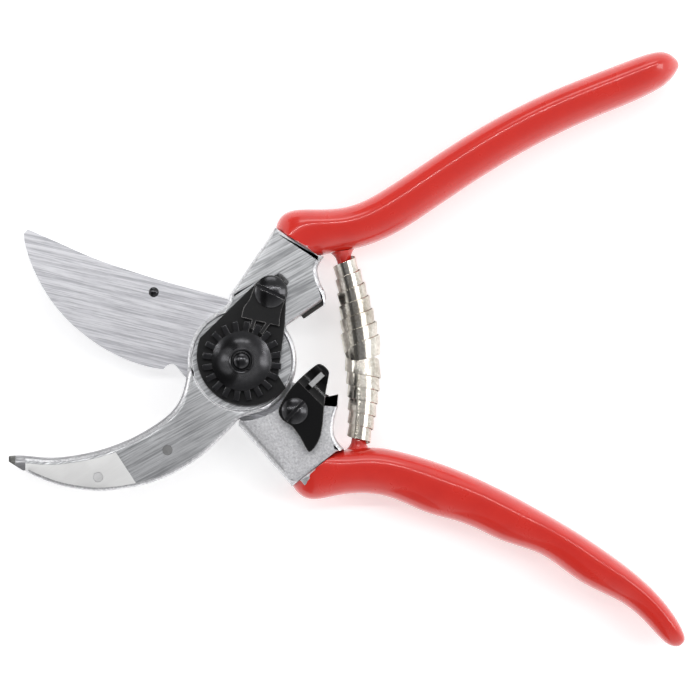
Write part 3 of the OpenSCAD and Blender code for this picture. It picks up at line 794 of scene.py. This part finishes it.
def ring_of(station, wall=0.0):
    """Middle, angle and half sizes of the section at a station, drawn in by wall (mm)."""
    ax, ay, bx, by = station
    width = math.hypot(ax - bx, ay - by)
    turn = math.atan2(ay - by, ax - bx)
    thick = HANDLE_THICK * min(1, width / 10)
    return Vector(((ax + bx) / 2, (ay + by) / 2, HANDLE_Z)), turn, width / 2 - wall, thick / 2 - wall


def between(a, b, share):
    return tuple(p + (q - p) * share for p, q in zip(a, b))


def pushed(station, distance):
    """The station moved along the handle, square to itself, by distance mm."""
    ax, ay, bx, by = station
    width = math.hypot(ax - bx, ay - by)
    dx, dy = (ay - by) / width * distance, -(ax - bx) / width * distance
    return ax + dx, ay + dy, bx + dx, by + dy


# %% The loft
def lofted(name, rings, ridge_at, ridge_slope):
    """Extrudes one section through the rings (middle, turn, half width, half thickness)."""
    bpy.ops.object.select_all(action="DESELECT")
    bpy.ops.mesh.primitive_circle_add(vertices=SECTION_SIDES, radius=1, fill_type="NOTHING")
    obj = bpy.context.object
    obj.name = name
    for index, vertex in enumerate(obj.data.vertices):
        angle = 2 * math.pi * index / SECTION_SIDES
        across, up = section_point(angle, ridge_at, ridge_slope)
        vertex.co = (across, 0, up)
    middle, turn, half_w, half_t = rings[0]
    edit(obj)
    bpy.ops.mesh.select_all(action="SELECT")
    bpy.ops.transform.resize(value=(half_w * MM, 1, half_t * MM), center_override=(0, 0, 0))
    bpy.ops.transform.rotate(value=-turn, orient_axis="Z", orient_type="GLOBAL", center_override=(0, 0, 0))
    bpy.ops.transform.translate(value=middle * MM)
    for before, after in zip(rings, rings[1:]):
        move = (after[0] - before[0]) * MM
        centre = after[0] * MM
        bpy.ops.mesh.extrude_edges_move(TRANSFORM_OT_translate={"value": move})
        bpy.ops.transform.rotate(value=before[1], orient_axis="Z", orient_type="GLOBAL",
                                 center_override=centre)
        bpy.ops.transform.resize(value=(after[2] / before[2], 1, after[3] / before[3]), center_override=centre)
        bpy.ops.transform.rotate(value=-after[1], orient_axis="Z", orient_type="GLOBAL",
                                 center_override=centre)
    bpy.ops.mesh.edge_face_add()
    bpy.ops.mesh.select_all(action="SELECT")
    bpy.ops.mesh.normals_make_consistent(inside=False)
    leave()
    return obj


def grip(name, stations, ridge_at, ridge_slope, peg_at, peg_toward):
    mouth = stations[0]
    rings = [ring_of(pushed(mouth, 2.6), COAT_WALL), ring_of(pushed(mouth, 0.25), COAT_WALL),
             ring_of(mouth, COAT_WALL * 0.8), ring_of(mouth, 0.12),
             ring_of(between(mouth, stations[1], 0.12), 0.0)]
    rings += [ring_of(station) for station in stations[1:]]
    middle, turn, half_w, half_t = rings[-1]
    ahead = Vector((math.sin(turn), -math.cos(turn), 0))
    rings.append((middle + ahead * 0.3, turn, half_w * 0.6, half_t * 0.6))
    rings.append((middle + ahead * 0.38, turn, half_w * 0.25, half_t * 0.25))
    obj = lofted(name, rings, ridge_at, ridge_slope)
    modifier(obj, "SUBSURF", levels=2, render_levels=2)
    way = Vector((*peg_toward, 0)) - Vector((*peg_at, 0))
    root = Vector((*peg_at, 0)) - way.normalized() * PEG_SINK
    peg = turned("peg", PEG_PROFILE, (0, 0, 0), 40)
    edit(peg)
    bpy.ops.mesh.select_all(action="SELECT")
    bpy.ops.transform.rotate(value=-math.pi / 2, orient_axis="Y", orient_type="GLOBAL",
                             center_override=(0, 0, 0))
    bpy.ops.transform.rotate(value=-math.atan2(way.y, way.x), orient_axis="Z", orient_type="GLOBAL",
                             center_override=(0, 0, 0))
    bpy.ops.transform.translate(value=mm(root.x, root.y, HANDLE_Z))
    leave()
    return weld(obj, [peg])


# %% Both grips
UPPER_SEAT, UPPER_WIDE = (28.2, 28.2), (33.4, -0.4)
LOWER_SEAT, LOWER_WIDE = (32.3, -22.4), (33.2, 3.4)
upper_grip = grip("upper_dip_grip", UPPER_STATIONS, 0.311, 0.13, UPPER_SEAT, UPPER_WIDE)
place(upper_grip, "anvil_half", ["upper_grip"], RED, 60)
lower_grip = grip("lower_dip_grip", LOWER_STATIONS, 0.504, 0.13, LOWER_SEAT, LOWER_WIDE)
place(lower_grip, "cutting_half", ["lower_grip"], RED, 60)

# %% [markdown]
# ## Strip spring
# The spring is two volutes of nickel strip, wound on edge like a telescope, and the lower one's
# wide end sits inside the upper one's, whose strip ends in a rounded tab. The strip's section is a
# plane with bevelled corners, which is extruded, turned and widened step by step up a standing
# helix and then laid down between the handles. The section leans a little, so that each turn's
# edge stands out from the next one. Each volute rides on its own body, which turns as the shears
# close.

# %% Spring volutes
STRIP_HEIGHT = 5.4
STRIP_LEAN = math.radians(3.2)
STRIP_CORNER = 0.12
STRIP_SINK = 1.2
STEPS_PER_TURN = 20
TAB_STEPS = 5
TAB_BLUNT = 0.15


def volute(name, body, node_name, seat, wide_end, turns, pitch, radii, thick, bow, hand):
    bpy.ops.object.select_all(action="DESELECT")
    bpy.ops.mesh.primitive_plane_add(size=1, location=(0, 0, 0), rotation=(math.pi / 2, 0, 0))
    obj = bpy.context.object
    obj.name = name
    obj.scale = mm(thick, STRIP_HEIGHT, 1)
    bpy.ops.object.transform_apply(location=True, rotation=True, scale=True)
    edit(obj)
    bpy.ops.mesh.select_all(action="SELECT")
    bpy.ops.mesh.bevel(offset=STRIP_CORNER * MM, segments=3, affect="VERTICES")
    bpy.ops.transform.rotate(value=STRIP_LEAN, orient_axis="Y", orient_type="GLOBAL",
                             center_override=(0, 0, 0))
    radius, height = radii[0], STRIP_HEIGHT / 2 - STRIP_SINK
    bpy.ops.transform.translate(value=mm(radius, 0, height))
    steps = round(turns * STEPS_PER_TURN)
    for step in range(1, steps + 1):
        wider = radii[0] + (radii[1] - radii[0]) * step / steps
        height += pitch / STEPS_PER_TURN
        rise = (0, 0, pitch / STEPS_PER_TURN * MM)
        bpy.ops.mesh.extrude_region_move(TRANSFORM_OT_translate={"value": rise})
        bpy.ops.transform.rotate(value=-hand * 2 * math.pi / STEPS_PER_TURN, orient_axis="Z",
                                 orient_type="GLOBAL", center_override=(0, 0, 0))
        bpy.ops.transform.resize(value=(wider / radius, wider / radius, 1), center_override=(0, 0, 0))
        radius = wider
        left = steps - step
        if left < TAB_STEPS:
            length = TAB_STEPS + TAB_BLUNT
            share = (math.sqrt(1 - ((TAB_STEPS - left) / length) ** 2)
                     / math.sqrt(1 - ((TAB_STEPS - left - 1) / length) ** 2))
            bpy.ops.transform.resize(value=(1, 1, share), center_override=(0, 0, height * MM))
    bpy.ops.mesh.select_all(action="SELECT")
    bpy.ops.mesh.normals_make_consistent(inside=False)
    leave()
    way = Vector((*wide_end, 0)) - Vector((*seat, 0))
    for vertex in obj.data.vertices:
        share = min(1, max(0, vertex.co.z / MM / way.length))
        vertex.co.y += bow * MM * 4 * share * (1 - share)
    edit(obj)
    bpy.ops.mesh.select_all(action="SELECT")
    bpy.ops.transform.rotate(value=-math.pi / 2, orient_axis="Y", orient_type="GLOBAL",
                             center_override=(0, 0, 0))
    bpy.ops.transform.rotate(value=-math.atan2(way.y, way.x), orient_axis="Z", orient_type="GLOBAL",
                             center_override=(0, 0, 0))
    bpy.ops.transform.translate(value=mm(*seat, HANDLE_Z))
    leave()
    place(obj, body, [node_name], NICKEL, 30)
    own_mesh(obj)


volute("volute_upper", "upper_volute", "spring_upper", UPPER_SEAT, UPPER_WIDE, turns=6.64, pitch=3.75,
       radii=(3.0, 5.3), thick=0.3, bow=0.8, hand=1)
volute("volute_lower", "lower_volute", "spring_lower", LOWER_SEAT, LOWER_WIDE, turns=6.0, pitch=3.6,
       radii=(3.0, 4.8), thick=0.27, bow=-0.8, hand=-1)

# %% [markdown]
# ## Floor, light and camera
# A plain white floor, and a sky that is bright round the sides and darker overhead, so that flat
# metal reads grey and rounded rims read bright. A dark band in the sky on the left gives round
# metal its dark stripe. A long strip light makes the line along the handles, and three soft boxes
# stand at the right, the left and the back. The camera looks straight down.

# %% Floor
bpy.ops.object.select_all(action="DESELECT")
bpy.ops.mesh.primitive_plane_add(size=6, location=(0, 0, -0.00005))
floor = bpy.context.object
floor.name = "floor"
floor_paint = bpy.data.materials.new("Floor paint")
floor_paint.use_nodes = True
paint = floor_paint.node_tree.nodes["Principled BSDF"].inputs
paint["Base Color"].default_value = (0.85, 0.85, 0.85, 1)
paint["Roughness"].default_value = 0.9
paint["Emission Color"].default_value = (1, 1, 1, 1)
paint["Emission Strength"].default_value = 0.45
floor.data.materials.append(floor_paint)

# %% Sky
world = bpy.data.worlds.new("Studio")
bpy.context.scene.world = world
world.use_nodes = True
sky = world.node_tree
direction = node(sky, "ShaderNodeTexCoord").outputs["Generated"]
parts = node(sky, "ShaderNodeSeparateXYZ", [(0, direction)]).outputs
ramp = node(sky, "ShaderNodeValToRGB", [("Fac", parts["Z"])])
ramp.color_ramp.elements[0].position = 0.35
ramp.color_ramp.elements[0].color = (1.0, 1.0, 1.0, 1)
ramp.color_ramp.elements[1].position = 0.95
ramp.color_ramp.elements[1].color = (0.22, 0.22, 0.23, 1)
BAND_MIDDLE, BAND_REACH, BAND_DARKENS = -0.45, 0.2, 0.8
in_band = node(sky, "ShaderNodeMath", [(0, parts["X"]), (1, BAND_MIDDLE), (2, BAND_REACH)],
               operation="COMPARE")
dimmed = node(sky, "ShaderNodeMath", [(0, in_band.outputs[0]), (1, -BAND_DARKENS), (2, 1.0)],
              operation="MULTIPLY_ADD")
shaded = node(sky, "ShaderNodeVectorMath", [(0, ramp.outputs[0]), (1, dimmed.outputs[0])],
              operation="MULTIPLY")
sky.links.new(shaded.outputs[0], sky.nodes["Background"].inputs["Color"])
sky.nodes["Background"].inputs["Strength"].default_value = 1.02


# %% Lamps
def lamp(name, size, at, power, toward=(0.03, 0.0, 0.01)):
    data = bpy.data.lights.new(name, "AREA")
    data.shape = "RECTANGLE"
    data.size, data.size_y = size
    data.energy = power
    obj = bpy.data.objects.new(name, data)
    bpy.context.scene.collection.objects.link(obj)
    obj.location = at
    obj.rotation_euler = (Vector(toward) - Vector(at)).to_track_quat("-Z", "Y").to_euler()
    return obj


lamp("strip", (1.8, 0.035), (0.03, 0.34, 1.25), 5.0)
lamp("right box", (0.4, 0.7), (0.95, 0.0, 0.95), 3.2)
lamp("left box", (0.4, 0.7), (-1.3, 0.2, 0.45), 2.0)
lamp("back box", (0.7, 0.3), (0.0, 1.0, 0.75), 2.0)

# %% Camera
CAMERA_HEIGHT = 1.2
SENSOR_WIDTH = 36
FRAME_WIDTH = 0.19425
PLANE_Z = 0.0145
camera_data = bpy.data.cameras.new("camera")
camera_data.sensor_width = SENSOR_WIDTH
camera_data.lens = SENSOR_WIDTH * (CAMERA_HEIGHT - PLANE_Z) / FRAME_WIDTH
camera = bpy.data.objects.new("camera", camera_data)
bpy.context.scene.collection.objects.link(camera)
camera.location = (0.0299, 0.0030, CAMERA_HEIGHT)
bpy.context.scene.camera = camera
bpy.context.scene.view_settings.view_transform = "Standard"
print("lens:", round(camera_data.lens, 1))
